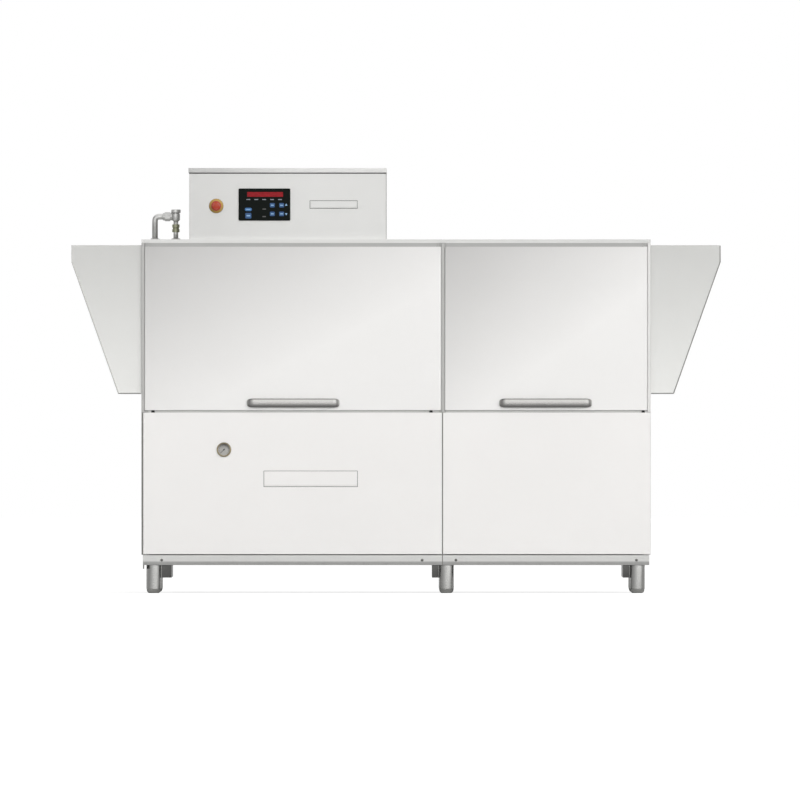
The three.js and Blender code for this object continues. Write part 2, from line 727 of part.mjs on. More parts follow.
function addEmergencyStop() {
  const x = -772;
  const z = 1661;
  const collar = turnedForward([
    [9, 0], [30.5, 0], [30.5, 9], [26, 15], [18, 17], [9, 17], [9, 0],
  ], 28);
  place('estop_collar', collar, YELLOW_PLASTIC, x, depth(BOX_FRONT - GAP), z);
  const plunger = turnedForward([[0, 7], [7.5, 7], [7.5, 27], [0, 27]], 16);
  place('estop_plunger', plunger, BLACK_PLASTIC, x, depth(BOX_FRONT - GAP), z);
  const head = turnedForward([
    [0, 27 + GAP], [9, 27 + GAP], [9, 24], [19, 24], [21.5, 27], [21.5, 33], [18, 38.5], [10, 41], [0, 41.6],
  ], 24);
  place('estop_head', head, RED_PLASTIC, x, depth(BOX_FRONT - GAP), z);
}

// ---------------------------------------------------------------- thermometer

function addThermometer() {
  const x = -738;
  const z = 615;
  const face = depth(-GAP);
  const dialCase = turnedForward([
    [0, 0], [31.5, 0], [31.5, 8], [29, 13], [25.5, 13], [25.5, 5], [0, 5],
  ], 28);
  place('thermometer_case', dialCase, BRASS, x, face, z);
  const needle = join(
    rod([0, -5.5, 0], [0, -9, 0], 3, 12),
    block([-0.9, 0.9], [-7.5, -6.3], [-6, 20]),
  );
  const hand = place('thermometer_needle', needle, BLACK_PLASTIC, x, face, z);
  hand.rotation.y = -0.75 * Math.PI;
}

// ---------------------------------------------------------------- rinse fill line on the roof

// Riser, elbow, union, vacuum breaker and the drop pipe back into the roof.
function addRinseFillLine() {
  const riserX = -1039;
  const dropX = RINSE_X;
  const elbow = 25;
  const runZ = 1618;
  const foot = ROOF_TOP + GAP;
  const route = new THREE.CurvePath();
  const start = new THREE.Vector3(riserX, 0, foot);
  const bendLow = new THREE.Vector3(riserX, 0, runZ - elbow);
  const corner = new THREE.Vector3(riserX, 0, runZ);
  const bendHigh = new THREE.Vector3(riserX + elbow, 0, runZ);
  const end = new THREE.Vector3(dropX, 0, runZ);
  route.add(new THREE.LineCurve3(start, bendLow));
  route.add(new THREE.QuadraticBezierCurve3(bendLow, corner, bendHigh));
  route.add(new THREE.LineCurve3(bendHigh, end));
  const section = new THREE.Shape();
  section.absarc(0, 0, 12.5, 0, 2 * Math.PI);
  const pipe = new THREE.ExtrudeGeometry(section, {
    extrudePath: route, steps: 20, bevelEnabled: false, curveSegments: 6,
  });
  const line = join(
    pipe,
    rod([riserX, 0, foot], [riserX, 0, foot + 8], 21, 20),
    rod([riserX + 42, 0, runZ], [riserX + 66, 0, runZ], 20, 6),
    rod([dropX, 0, foot], [dropX, 0, runZ], 10.5, 16),
    rod([dropX, 0, foot], [dropX, 0, foot + 8], 19, 20),
    rod([dropX, 0, 1551], [dropX, 0, 1585], 16, 6),
    rod([dropX, 0, 1600], [dropX, 0, 1634], 18, 20),
    rod([dropX, 0, 1633], [dropX, 0, 1650], 21, 20),
  );
  place('rinse_fill_line', line, POLISHED, 0, depth(RINSE_DEPTH), 0);
}

// ---------------------------------------------------------------- assembly

addBaseRails();
addLegs();
addWalls();
addRoof();
addRearPanel();
addHoods();
addLowerPanels();
addDoors();
addTanks();
addManifolds();
addPumps();
addTracks();
addConveyor();
addCurtains();
addControlBox();
addKeypad();
addEmergencyStop();
addThermometer();
addRinseFillLine();

export default machine;
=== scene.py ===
"""Looks of the rack-conveyor dishwasher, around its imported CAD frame. Metres, +Z up, doors facing -Y."""

import math
import random

import bmesh
import bpy
from mathutils import Matrix, Vector


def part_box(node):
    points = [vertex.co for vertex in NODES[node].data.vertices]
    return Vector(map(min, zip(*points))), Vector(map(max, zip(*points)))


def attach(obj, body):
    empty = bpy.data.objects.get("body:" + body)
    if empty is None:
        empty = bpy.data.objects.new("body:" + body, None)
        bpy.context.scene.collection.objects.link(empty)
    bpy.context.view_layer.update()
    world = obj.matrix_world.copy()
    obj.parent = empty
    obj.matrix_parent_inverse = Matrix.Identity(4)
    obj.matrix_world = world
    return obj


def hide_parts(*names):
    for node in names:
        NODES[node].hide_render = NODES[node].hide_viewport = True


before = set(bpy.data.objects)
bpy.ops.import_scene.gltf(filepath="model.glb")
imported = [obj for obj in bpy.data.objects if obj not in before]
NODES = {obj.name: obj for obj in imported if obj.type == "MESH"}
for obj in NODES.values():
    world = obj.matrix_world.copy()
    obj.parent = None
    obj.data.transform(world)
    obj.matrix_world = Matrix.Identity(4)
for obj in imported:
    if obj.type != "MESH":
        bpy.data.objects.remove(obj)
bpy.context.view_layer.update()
MM = 0.001


# ------------------------------------------------------------------ camera, light and stage

VIEW_WIDTH = 3.43  # metres across the picture, at the doors
LENS = 1000.0  # millimetres: long, so that there is almost no perspective
SENSOR = 36.0
CAMERA_X = 0.017
CAMERA_Z = 0.828
CLIP_END = 200


def add_camera():
    """Straight at the doors, from far enough away to show almost no perspective."""
    camera = bpy.data.cameras.new("camera")
    camera.lens = LENS
    camera.sensor_width = SENSOR
    camera.clip_end = CLIP_END
    holder = bpy.data.objects.new("camera", camera)
    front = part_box("door_left")[0].y
    distance = VIEW_WIDTH * LENS / SENSOR
    holder.location = (CAMERA_X, front - distance, CAMERA_Z)
    holder.rotation_euler = (math.pi / 2, 0, 0)
    bpy.context.scene.collection.objects.link(holder)
    bpy.context.scene.camera = holder


def add_area_light(name, place, target, size, power):
    """A square soft lamp for plastics and the floor, without a mirror image of itself in the steel."""
    lamp = bpy.data.lights.new(name, "AREA")
    lamp.shape = "SQUARE"
    lamp.size = size
    lamp.energy = power
    holder = bpy.data.objects.new(name, lamp)
    holder.location = place
    holder.rotation_euler = (Vector(target) - Vector(place)).to_track_quat("-Z", "Y").to_euler()
    holder.visible_glossy = False
    bpy.context.scene.collection.objects.link(holder)


# ------------------------------------------------------------------ node helpers

def feed(tree, socket, value):
    """Sets a socket to a number or a tuple, or links another node's output to it."""
    if isinstance(value, bpy.types.NodeSocket):
        tree.links.new(value, socket)
    else:
        socket.default_value = value


def maths(tree, operation, *values):
    node = tree.nodes.new("ShaderNodeMath")
    node.operation = operation
    for socket, value in zip(node.inputs, values):
        feed(tree, socket, value)
    return node.outputs[0]


def map_range(tree, value, low, high, source=(0.3, 0.7), smooth=False):
    """Maps source to the range from low to high, and stops at both ends."""
    node = tree.nodes.new("ShaderNodeMapRange")
    if smooth:
        node.interpolation_type = "SMOOTHSTEP"
    for name, number in zip(("From Min", "From Max", "To Min", "To Max"), (*source, low, high)):
        node.inputs[name].default_value = number
    feed(tree, node.inputs["Value"], value)
    return node.outputs[0]


def shader_of(material):
    return material.node_tree.nodes["Principled BSDF"]


def new_material(name, metallic=0.0, roughness=0.5):
    material = bpy.data.materials.new(name)
    material.use_nodes = True
    shader = shader_of(material)
    shader.inputs["Metallic"].default_value = metallic
    shader.inputs["Roughness"].default_value = roughness
    return material


# ------------------------------------------------------------------ the studio

# Brightness of the studio round the horizon: degrees from straight in front, towards the right.
HORIZON = [
    (-180, 0.66), (-140, 0.56), (-106, 0.26), (-74, 0.20), (-46, 0.38), (-23, 0.60), (-4, 0.84),
    (20, 1.0), (42, 0.98), (58, 0.76), (80, 0.28), (106, 0.20), (140, 0.52), (180, 0.66),
]
SCREEN_STRENGTH = 2.01
SCREEN_FADE = (0.12, 0.45)  # heights on the unit sphere between which the screens dim
SCREEN_TOP = 0.5
CEILING_FADE = (0.40, 0.95)
CEILING_STRENGTH = 0.95
STUDIO_TINT = (1.0, 0.998, 0.99, 1)
WHITE = (1, 1, 1, 1)


def add_world():
    """White screens in front and behind, dark sides between them, and a soft ceiling."""
    world = bpy.data.worlds.new("studio")
    bpy.context.scene.world = world
    world.use_nodes = True
    tree = world.node_tree
    tree.nodes.clear()
    coord = tree.nodes.new("ShaderNodeTexCoord")
    split = tree.nodes.new("ShaderNodeSeparateXYZ")
    tree.links.new(coord.outputs["Generated"], split.inputs[0])
    height = split.outputs["Z"]
    angle = maths(tree, "ARCTAN2", split.outputs["X"], maths(tree, "MULTIPLY", split.outputs["Y"], -1.0))
    ring = tree.nodes.new("ShaderNodeValToRGB")
    ring.color_ramp.interpolation = "LINEAR"
    stops = ring.color_ramp.elements
    for i, (degrees, level) in enumerate(HORIZON):
        position = (degrees + 180) / 360
        last = i == len(HORIZON) - 1
        stop = stops[0] if i == 0 else stops[-1] if last else stops.new(position)
        stop.position = position
        stop.color = (level, level, level, 1)
    tree.links.new(map_range(tree, angle, 0.0, 1.0, (-math.pi, math.pi)), ring.inputs[0])
    screens = maths(tree, "MULTIPLY", ring.outputs["Color"], SCREEN_STRENGTH)
    fade = map_range(tree, height, 1.0, SCREEN_TOP, SCREEN_FADE, smooth=True)
    faded = maths(tree, "MULTIPLY", screens, fade)
    ceiling = map_range(tree, height, 0.0, CEILING_STRENGTH, CEILING_FADE, smooth=True)
    lit = tree.nodes.new("ShaderNodeBackground")
    lit.inputs["Color"].default_value = STUDIO_TINT
    tree.links.new(maths(tree, "MAXIMUM", faded, ceiling), lit.inputs["Strength"])
    white = tree.nodes.new("ShaderNodeBackground")
    white.inputs["Color"].default_value = WHITE
    path = tree.nodes.new("ShaderNodeLightPath")
    mix = tree.nodes.new("ShaderNodeMixShader")
    tree.links.new(path.outputs["Is Camera Ray"], mix.inputs[0])
    tree.links.new(lit.outputs[0], mix.inputs[1])
    tree.links.new(white.outputs[0], mix.inputs[2])
    out = tree.nodes.new("ShaderNodeOutputWorld")
    tree.links.new(mix.outputs[0], out.inputs[0])


FLOOR_HALF = 60  # metres from the middle to each side
FLOOR_BASE = (0.50, 0.40)  # base colour for bounced light, and as the camera sees it
FLOOR_GLOW = (0.0, 0.78)  # emission for bounced light, and as the camera sees it


def add_floor():
    """A pale floor that fades to white, with a softer bounce under the machine than its face shows."""
    mesh = bpy.data.meshes.new("floor")
    corners = [(x * FLOOR_HALF, y * FLOOR_HALF, 0) for x, y in ((-1, -1), (1, -1), (1, 1), (-1, 1))]
    mesh.from_pydata(corners, [], [(0, 1, 2, 3)])
    floor = bpy.data.objects.new("floor", mesh)
    bpy.context.scene.collection.objects.link(floor)
    material = new_material("floor_white", roughness=0.9)
    tree = material.node_tree
    shader = shader_of(material)
    shader.inputs["Specular IOR Level"].default_value = 0.0
    shader.inputs["Emission Color"].default_value = WHITE
    path = tree.nodes.new("ShaderNodeLightPath")
    for socket, (bounced, seen) in (("Base Color", FLOOR_BASE), ("Emission Strength", FLOOR_GLOW)):
        level = map_range(tree, path.outputs["Is Camera Ray"], bounced, seen, (0.0, 1.0))
        tree.links.new(level, shader.inputs[socket])
    mesh.materials.append(material)


# ------------------------------------------------------------------ materials

def add_noise(tree, scale, stretch=(1, 1, 1), detail=3.0):
    """A noise pattern in the object's own coordinates, pulled long by stretch."""
    coord = tree.nodes.new("ShaderNodeTexCoord")
    mapping = tree.nodes.new("ShaderNodeMapping")
    mapping.inputs["Scale"].default_value = stretch
    noise = tree.nodes.new("ShaderNodeTexNoise")
    noise.inputs["Scale"].default_value = scale
    noise.inputs["Detail"].default_value = detail
    tree.links.new(coord.outputs["Object"], mapping.inputs["Vector"])
    tree.links.new(mapping.outputs["Vector"], noise.inputs["Vector"])
    return noise.outputs["Fac"]


def mix_colours(tree, factor, first, second):
    node = tree.nodes.new("ShaderNodeMix")
    node.data_type = "RGBA"
    node.inputs["A"].default_value = (*first, 1)
    node.inputs["B"].default_value = (*second, 1)
    tree.links.new(factor, node.inputs["Factor"])
    return node.outputs["Result"]


def add_bump(tree, height, strength, distance):
    bump = tree.nodes.new("ShaderNodeBump")
    bump.inputs["Strength"].default_value = strength
    bump.inputs["Distance"].default_value = distance
    tree.links.new(height, bump.inputs["Height"])
    tree.links.new(bump.outputs["Normal"], tree.nodes["Principled BSDF"].inputs["Normal"])


def scaled(colour, factor):
    return tuple(min(1.0, c * factor) for c in colour)


def brushed_steel(name, colour, roughness=0.34, grain=(2, 60, 60), spread=0.05):
    """Brushed stainless: long fine scratches, and slow changes of tone from handling and rolling."""
    material = new_material(name, metallic=1.0, roughness=roughness)
    tree = material.node_tree
    shader = shader_of(material)
    scratches = add_noise(tree, 28.0, grain, 4.0)
    clouds = add_noise(tree, 1.7, (1, 1, 1.4), 2.0)
    scratch_share = 0.45
    cloud_share = map_range(tree, clouds, 0.0, 1 - scratch_share)
    tone = maths(tree, "MULTIPLY_ADD", map_range(tree, scratches, 0.0, 1.0), scratch_share, cloud_share)
    colours = mix_colours(tree, tone, scaled(colour, 1 - spread), scaled(colour, 1 + spread * 0.6))
    tree.links.new(colours, shader.inputs["Base Color"])
    gloss = map_range(tree, scratches, roughness - 0.05, roughness + 0.07)
    tree.links.new(gloss, shader.inputs["Roughness"])
    add_bump(tree, scratches, 0.12, 0.0004)
    return material


def add_painted_shade(material, start, slope, dark, between=None):
    """Paints shade into the colour: multiplies it by a tone that rises from dark to 1 along slope, counted
    from start.

    With between, the tone is dark at the first distance and 1 at the second, on both sides of start.
    """
    tree = material.node_tree
    shader = shader_of(material)
    plain = shader.inputs["Base Color"].links[0].from_socket
    coord = tree.nodes.new("ShaderNodeTexCoord")
    offset = tree.nodes.new("ShaderNodeVectorMath")
    offset.operation = "SUBTRACT"
    offset.inputs[1].default_value = start
    tree.links.new(coord.outputs["Object"], offset.inputs[0])
    along = tree.nodes.new("ShaderNodeVectorMath")
    along.operation = "DOT_PRODUCT"
    along.inputs[1].default_value = slope
    tree.links.new(offset.outputs["Vector"], along.inputs[0])
    value = along.outputs["Value"]
    if between:
        value = maths(tree, "ABSOLUTE", value)
    rise = map_range(tree, value, 0.0, 1.0, between or (0.0, 1.0))
    multiply = tree.nodes.new("ShaderNodeMix")
    multiply.data_type = "RGBA"
    multiply.blend_type = "MULTIPLY"
    multiply.inputs["Factor"].default_value = 1.0
    tree.links.new(plain, multiply.inputs["A"])
    tree.links.new(mix_colours(tree, rise, (dark,) * 3, (1, 1, 1)), multiply.inputs["B"])
    tree.links.new(multiply.outputs["Result"], shader.inputs["Base Color"])


def moulded_plastic(name, colour, roughness=0.4, coat=0.0, specular=0.5):
    """Moulded plastic with a fine orange-peel skin and slight scuffing."""
    material = new_material(name, roughness=roughness)
    tree = material.node_tree
    shader = shader_of(material)
    peel = add_noise(tree, 900.0)
    scuffs = add_noise(tree, 60.0, detail=5.0)
    colours = mix_colours(tree, map_range(tree, scuffs, 0, 1), scaled(colour, 0.88), colour)
    tree.links.new(colours, shader.inputs["Base Color"])
    gloss = map_range(tree, scuffs, roughness - 0.06, roughness + 0.1)
    tree.links.new(gloss, shader.inputs["Roughness"])
    shader.inputs["Coat Weight"].default_value = coat
    shader.inputs["Specular IOR Level"].default_value = specular
    add_bump(tree, peel, 0.06, 0.0002)
    return material


def cast_paint(name, colour):
    """Hammer-textured machine paint."""
    material = new_material(name, roughness=0.5)
    tree = material.node_tree
    grain = add_noise(tree, 240.0)
    dust = add_noise(tree, 9.0, detail=4.0)
    colours = mix_colours(tree, map_range(tree, dust, 0, 1), colour, scaled(colour, 1.25))
    tree.links.new(colours, shader_of(material).inputs["Base Color"])
    add_bump(tree, grain, 0.25, 0.0006)
    return material


def clear_vinyl(name, colour):
    """Cloudy soft vinyl of the strip curtains."""
    material = new_material(name, roughness=0.32)
    tree = material.node_tree
    shader = shader_of(material)
    clouds = add_noise(tree, 14.0, (1, 1, 0.4))
    colours = mix_colours(tree, map_range(tree, clouds, 0, 1), colour, scaled(colour, 1.18))
    tree.links.new(colours, shader.inputs["Base Color"])
    shader.inputs["Transmission Weight"].default_value = 0.25
    shader.inputs["Subsurface Weight"].default_value = 0.1
    add_bump(tree, clouds, 0.08, 0.001)
    return material


def dark_glass(name, colour, glow):
    """Smooth glass over a faintly lit display."""
    material = new_material(name, roughness=0.12)
    tree = material.node_tree
    shader = shader_of(material)
    clouds = add_noise(tree, 90.0, (1, 1, 3), 2.0)
    colours = mix_colours(tree, map_range(tree, clouds, 0, 1), colour, scaled(colour, 1.5))
    tree.links.new(colours, shader.inputs["Base Color"])
    tree.links.new(colours, shader.inputs["Emission Color"])
    shader.inputs["Emission Strength"].default_value = glow
    shader.inputs["Specular IOR Level"].default_value = 0.12
    return material


# Every finish, by name.
PANEL_STEEL = brushed_steel("steel_panel", (0.905, 0.893, 0.883), 0.36, spread=0.02)
RAIL_STEEL = brushed_steel("steel_rail", (0.66, 0.66, 0.65), 0.34, spread=0.05)
ROOF_STEEL = brushed_steel("steel_roof", (0.70, 0.70, 0.69), 0.34, spread=0.04)
BODY_STEEL = brushed_steel("steel_body", (0.76, 0.755, 0.745), 0.34, spread=0.04)
# Painted shade: a darker copy of the body steel for the centre and unload end walls, whose guide posts beside
# the doors lie in shade; the load end wall, on the lit side, keeps the body steel.
SHADED_WALL_STEEL = brushed_steel("steel_wall_shaded", (0.50, 0.50, 0.49), 0.36, (60, 60, 2), 0.05)
HOOD_STEEL = brushed_steel("steel_hood", (0.85, 0.852, 0.835), 0.36, (60, 60, 2), 0.02)
BOX_STEEL = brushed_steel("steel_box", (0.735, 0.735, 0.725), 0.36, spread=0.02)
LID_STEEL = brushed_steel("steel_lid", (0.76, 0.76, 0.75), 0.36, spread=0.02)
LEG_STEEL = brushed_steel("steel_leg", (0.62, 0.62, 0.60), 0.16, (60, 60, 2), 0.05)
# Painted shade: a dark copy of the steel for the hood hems that lie in shade.
SHADED_HEM_STEEL = brushed_steel("steel_hem_shaded", (0.36, 0.36, 0.35), 0.3, (60, 60, 2), 0.05)
# Painted shade: a dark copy of the steel for the screws, the seam strips, the rail joint and hanger and the
# box's turned edge.
DARK_SHADE_STEEL = brushed_steel("steel_dark_shade", (0.22, 0.22, 0.21), 0.3, (40, 40, 40), 0.2)
HANDLE_STEEL = brushed_steel("steel_handle", (0.43, 0.425, 0.415), 0.14, (3, 80, 80), 0.03)
INNER_STEEL = brushed_steel("steel_inner", (0.62, 0.62, 0.61), 0.3, (60, 60, 3), 0.08)
POLISHED_STEEL = brushed_steel("steel_polished", (0.76, 0.76, 0.75), 0.38, (3, 80, 80), 0.03)
BRASS = brushed_steel("brass", (0.40, 0.34, 0.22), 0.24, (30, 30, 30), 0.2)
GREEN_BRASS = brushed_steel("brass_weathered", (0.46, 0.47, 0.34), 0.45, (30, 30, 30), 0.2)
MACHINE_PAINT = cast_paint("machine_paint", (0.28, 0.30, 0.32))
KEYPAD_BLACK = moulded_plastic("keypad_black", (0.0055, 0.0080, 0.0068), 0.5, specular=0.10)
BLACK_PLASTIC = moulded_plastic("black_plastic", (0.02, 0.02, 0.022), 0.45, specular=0.3)
KEY_BLUE = moulded_plastic("key_blue", (0.045, 0.17, 0.42), 0.42)
KEY_DARK_BLUE = moulded_plastic("key_dark_blue", (0.03, 0.10, 0.26), 0.42)
KEY_LIGHT = moulded_plastic("key_light", (0.30, 0.52, 0.78), 0.45)
STOP_YELLOW = moulded_plastic("stop_yellow", (0.58, 0.36, 0.09), 0.42)
STOP_RED = moulded_plastic("stop_red", (0.50, 0.045, 0.012), 0.36, 0.15)
LABEL_GREY = moulded_plastic("label_grey", (0.30, 0.32, 0.36), 0.6)
LABEL_DIM = moulded_plastic("label_dim", (0.10, 0.10, 0.10), 0.6)
DIAL_WHITE = moulded_plastic("dial_white", (0.56, 0.55, 0.53), 0.45)
VINYL = clear_vinyl("curtain_vinyl", (0.50, 0.56, 0.57))
RUBBER = moulded_plastic("black_rubber", (0.03, 0.03, 0.03), 0.75)
DISPLAY_RED = dark_glass("display_red", (0.185, 0.006, 0.010), 0.25)


# ------------------------------------------------------------------ finishing the CAD nodes

def ease_edges(made, width, segments=2, angle=35):
    """Rounds every edge that is sharper than angle degrees."""
    ease = made.modifiers.new("ease", "BEVEL")
    ease.width = width
    ease.segments = segments
    ease.limit_method = "ANGLE"
    ease.angle_limit = math.radians(angle)
    ease.harden_normals = True


def finish_node(name, material, bevel):
    """A CAD node keeps its shape; its edges are eased by bevel millimetres and it gets its finish."""
    node = NODES[name]
    mesh = node.data
    mesh.materials.clear()
    mesh.materials.append(material)
    for polygon in mesh.polygons:
        polygon.use_smooth = True
    weld = node.modifiers.new("weld", "WELD")
    weld.merge_threshold = 0.02 * MM
    ease_edges(node, bevel * MM, angle=40)
    even = node.modifiers.new("even", "WEIGHTED_NORMAL")
    even.keep_sharp = True


def finish_all_nodes():
    plan = {
        PANEL_STEEL: ["front_panel_left", "front_panel_right"],
        RAIL_STEEL: ["base_rail_front", "base_rail_rear"],
        ROOF_STEEL: ["roof_panel"],
        BODY_STEEL: ["rear_panel", "rack_track_front", "rack_track_rear", "wash_scrap_basket",
                     "prewash_scrap_basket", "load_end_wall"],
        SHADED_WALL_STEEL: ["centre_wall", "unload_end_wall"],
        HOOD_STEEL: ["load_hood", "unload_hood"],
        BOX_STEEL: ["control_box_case"],
        LID_STEEL: ["control_box_lid"],
        LEG_STEEL: [n for n in NODES if n.startswith("foot_")],
        INNER_STEEL: ["wash_tank", "prewash_tank", "wash_manifold", "prewash_manifold",
                      "final_rinse_manifold", "pawl_bar", "pawl_1", "pawl_2", "pawl_3", "drive_shaft"],
        MACHINE_PAINT: ["wash_pump", "prewash_pump", "drive_gearmotor"],
        BRASS: ["wash_pump_impeller", "prewash_pump_impeller", "thermometer_case"],
        KEYPAD_BLACK: ["keypad_bezel"],
        BLACK_PLASTIC: ["estop_plunger", "thermometer_needle"],
        KEY_BLUE: ["key_start"],
        KEY_DARK_BLUE: [n for n in NODES if n.startswith("key_") and n != "key_start"],
        STOP_YELLOW: ["estop_collar"],
        STOP_RED: ["estop_head"],
    }
    small_bevel = 0.5
    plain_bevel = 0.8
    fine = {"estop_head": 0.6, "estop_collar": 0.6, "estop_plunger": 0.4,
            "thermometer_case": 0.4, "thermometer_needle": 0.15}
    for material, names in plan.items():
        for name in names:
            usual = small_bevel if name.startswith("key_") else plain_bevel
            finish_node(name, material, fine.get(name, usual))
    for side in ("left", "right"):
        low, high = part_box(f"door_{side}")
        steel = brushed_steel(f"steel_door_{side}", (0.875, 0.868, 0.86), 0.34, spread=0.02)
        # Painted shade: darkest in the upper left corner, and full well before the lower right one.
        slope = (0.79 / (high.x - low.x), 0, -0.87 / (high.z - low.z))
        add_painted_shade(steel, (low.x, 0, high.z), slope, 0.62)
        finish_node(f"door_{side}", steel, 0.9)


def paint_shade_gradients():
    """Painted shade in the colour: hoods darker at the top, box and lid darker to the left, rails darker at
    the foot, the roof darker below its lip, dial and thermometer case darker at the top, handles darker
    underneath.
    """
    low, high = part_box("load_hood")
    add_painted_shade(HOOD_STEEL, (0, 0, high.z), (0, 0, -1 / (high.z - low.z)), 0.74)
    low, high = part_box("control_box_case")
    across = (1.6 / (high.x - low.x), 0, 0)
    add_painted_shade(BOX_STEEL, (low.x, 0, 0), across, 0.91)
    add_painted_shade(LID_STEEL, (low.x - 60 * MM, 0, 0), across, 0.66)
    low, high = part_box("base_rail_front")
    add_painted_shade(RAIL_STEEL, (0, 0, low.z + 11 * MM), (0, 0, 1 / (8 * MM)), 0.55)
    header_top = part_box("roof_panel")[1].z - 15 * MM
    add_painted_shade(ROOF_STEEL, (0, 0, header_top - 0.8 * MM), (0, 0, 1 / (0.5 * MM)), 0.62)
    low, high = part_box("thermometer_case")
    add_painted_shade(DIAL_WHITE, (0, 0, high.z - 6 * MM), (0, 0, -1 / (22 * MM)), 0.3)
    add_painted_shade(BRASS, (0, 0, high.z), (0, 0, -1 / (30 * MM)), 0.5)
    low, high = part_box("door_handle_left")
    add_painted_shade(HANDLE_STEEL, (0, 0, low.z + 3 * MM), (0, 0, 1 / (11 * MM)), 0.64)


def finish_leg_frames():
    """Bright legs, and the cross channel between them painted dark as shade, for it lies under the machine.
    """
    for side in ("left", "centre", "right"):
        low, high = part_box(f"foot_{side}_front")
        axis_x = (low.x + high.x) / 2
        steel = brushed_steel(f"steel_leg_frame_{side}", (0.52, 0.52, 0.51), 0.13, (60, 60, 2), 0.05)
        leg_radius = 32 * MM
        between = (leg_radius + 1.5 * MM, leg_radius + 0.5 * MM)
        # Painted shade: everything beyond the leg tube's width, the cross channel, is darkened.
        add_painted_shade(steel, (axis_x, 0, 0), (1, 0, 0), 0.2, between)
        finish_node(f"leg_frame_{side}", steel, 0.8)


# ------------------------------------------------------------------ small mesh helpers

def piece(name, bm, material, body, smooth=True, bevel=0.0, bevel_segments=2):
    """Turns a bmesh into a finished piece that moves with a CAD body."""
    bmesh.ops.recalc_face_normals(bm, faces=bm.faces)
    mesh = bpy.data.meshes.new(name)
    bm.to_mesh(mesh)
    bm.free()
    for polygon in mesh.polygons:
        polygon.use_smooth = smooth
    mesh.materials.append(material)
    made = bpy.data.objects.new(name, mesh)
    bpy.context.scene.collection.objects.link(made)
    if bevel:
        ease_edges(made, bevel, bevel_segments)
    if smooth:
        made.modifiers.new("even", "WEIGHTED_NORMAL").keep_sharp = True
    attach(made, body)
    return made


def round_point(radius, turn, height):
    """The point of a circle about Z that lies turn radians round."""
    return Vector((radius * math.cos(turn), radius * math.sin(turn), height))


def join_rings(bm, rings):
    """Side faces between equal closed rings, and a face over each end."""
    for first, second in zip(rings, rings[1:]):
        for i in range(len(first)):
            j = (i + 1) % len(first)
            bm.faces.new([first[i], first[j], second[j], second[i]])
    bm.faces.new(rings[0][::-1])
    bm.faces.new(rings[-1])


def direction_at(points, i):
    """The unit direction of a route at its point i."""
    before = Vector(points[max(0, i - 1)])
    after = Vector(points[min(len(points) - 1, i + 1)])
    return (after - before).normalized()


def add_box(bm, low, high):
    """A closed box between two corners."""
    size = Vector(high) - Vector(low)
    centre = (Vector(high) + Vector(low)) / 2
    place = Matrix.Translation(centre) @ Matrix.Diagonal((*size, 1))
    bmesh.ops.create_cube(bm, size=1.0, matrix=place)


def add_lathe(bm, profile, place, axis="Z", segments=32):
    """A turned solid from (radius, height) points, closed on its axis at both ends."""
    turn = {
        "Z": Matrix.Identity(4),
        "-Y": Matrix.Rotation(math.pi / 2, 4, "X"),
        "X": Matrix.Rotation(math.pi / 2, 4, "Y"),
    }[axis]
    move = Matrix.Translation(Vector(place)) @ turn
    rings = []
    for radius, height in profile:
        if radius < 1e-6:
            rings.append([bm.verts.new(move @ Vector((0, 0, height)))])
            continue
        step = 2 * math.pi / segments
        rings.append([bm.verts.new(move @ round_point(radius, i * step, height)) for i in range(segments)])
    for lower, upper in zip(rings, rings[1:]):
        for i in range(segments):
            j = (i + 1) % segments
            below = [lower[i % len(lower)], lower[j % len(lower)]]
            above = [upper[j % len(upper)], upper[i % len(upper)]]
            unique = list(dict.fromkeys(below + above))
            if len(unique) > 2:
                bm.faces.new(unique)


def add_sweep(bm, points, section, narrowing):
    """A closed bar along level points: section lists (outwards, up) offsets, narrowing scales the height."""
    rings = []
    for i, point in enumerate(points):
        along = direction_at(points, i)
        out = Vector((-along.y, along.x, 0))
        scale = narrowing(i)
        rings.append([bm.verts.new(Vector(point) + out * s + Vector((0, 0, u * scale))) for s, u in section])
    join_rings(bm, rings)


def add_tube(bm, points, radius, sides=20):
    """A round closed tube along a route in space."""
    rings = []
    side = direction_at(points, 0).orthogonal().normalized()
    for i, point in enumerate(points):
        along = direction_at(points, i)
        side = (side - along * side.dot(along)).normalized()
        other = along.cross(side)
        ring = []
        for k in range(sides):
            offset = round_point(radius, 2 * math.pi * k / sides, 0)
            ring.append(bm.verts.new(Vector(point) + side * offset.x + other * offset.y))
        rings.append(ring)
    join_rings(bm, rings)


def in_mm(profile):
    """A profile of (radius, height) points given in millimetres."""
    return [(radius * MM, height * MM) for radius, height in profile]


DOME_RISE = 0.62  # height of a domed screw head, as a share of its radius


def dome_screw(radius):
    """Profile of a domed screw head, standing on z = 0."""
    sunk = 0.4 * MM
    return [
        (0, -sunk), (radius, -sunk), (radius, 0.15 * radius), (0.86 * radius, 0.42 * radius),
        (0.5 * radius, 0.58 * radius), (0, DOME_RISE * radius),
    ]


# ------------------------------------------------------------------ door handles

HANDLE_BAR = 5.0 * MM  # half the bar's thickness
HANDLE_BEND = 24 * MM
BEND_STEPS = 10


def bend_points(centre_x, centre_y, z, start):
    """A quarter turn in plan, from the angle start towards the right."""
    points = []
    for i in range(BEND_STEPS + 1):
        angle = start - 0.5 * math.pi * i / BEND_STEPS
        x = centre_x + HANDLE_BEND * math.cos(angle)
        points.append((x, centre_y - HANDLE_BEND * math.sin(angle), z))
    return points


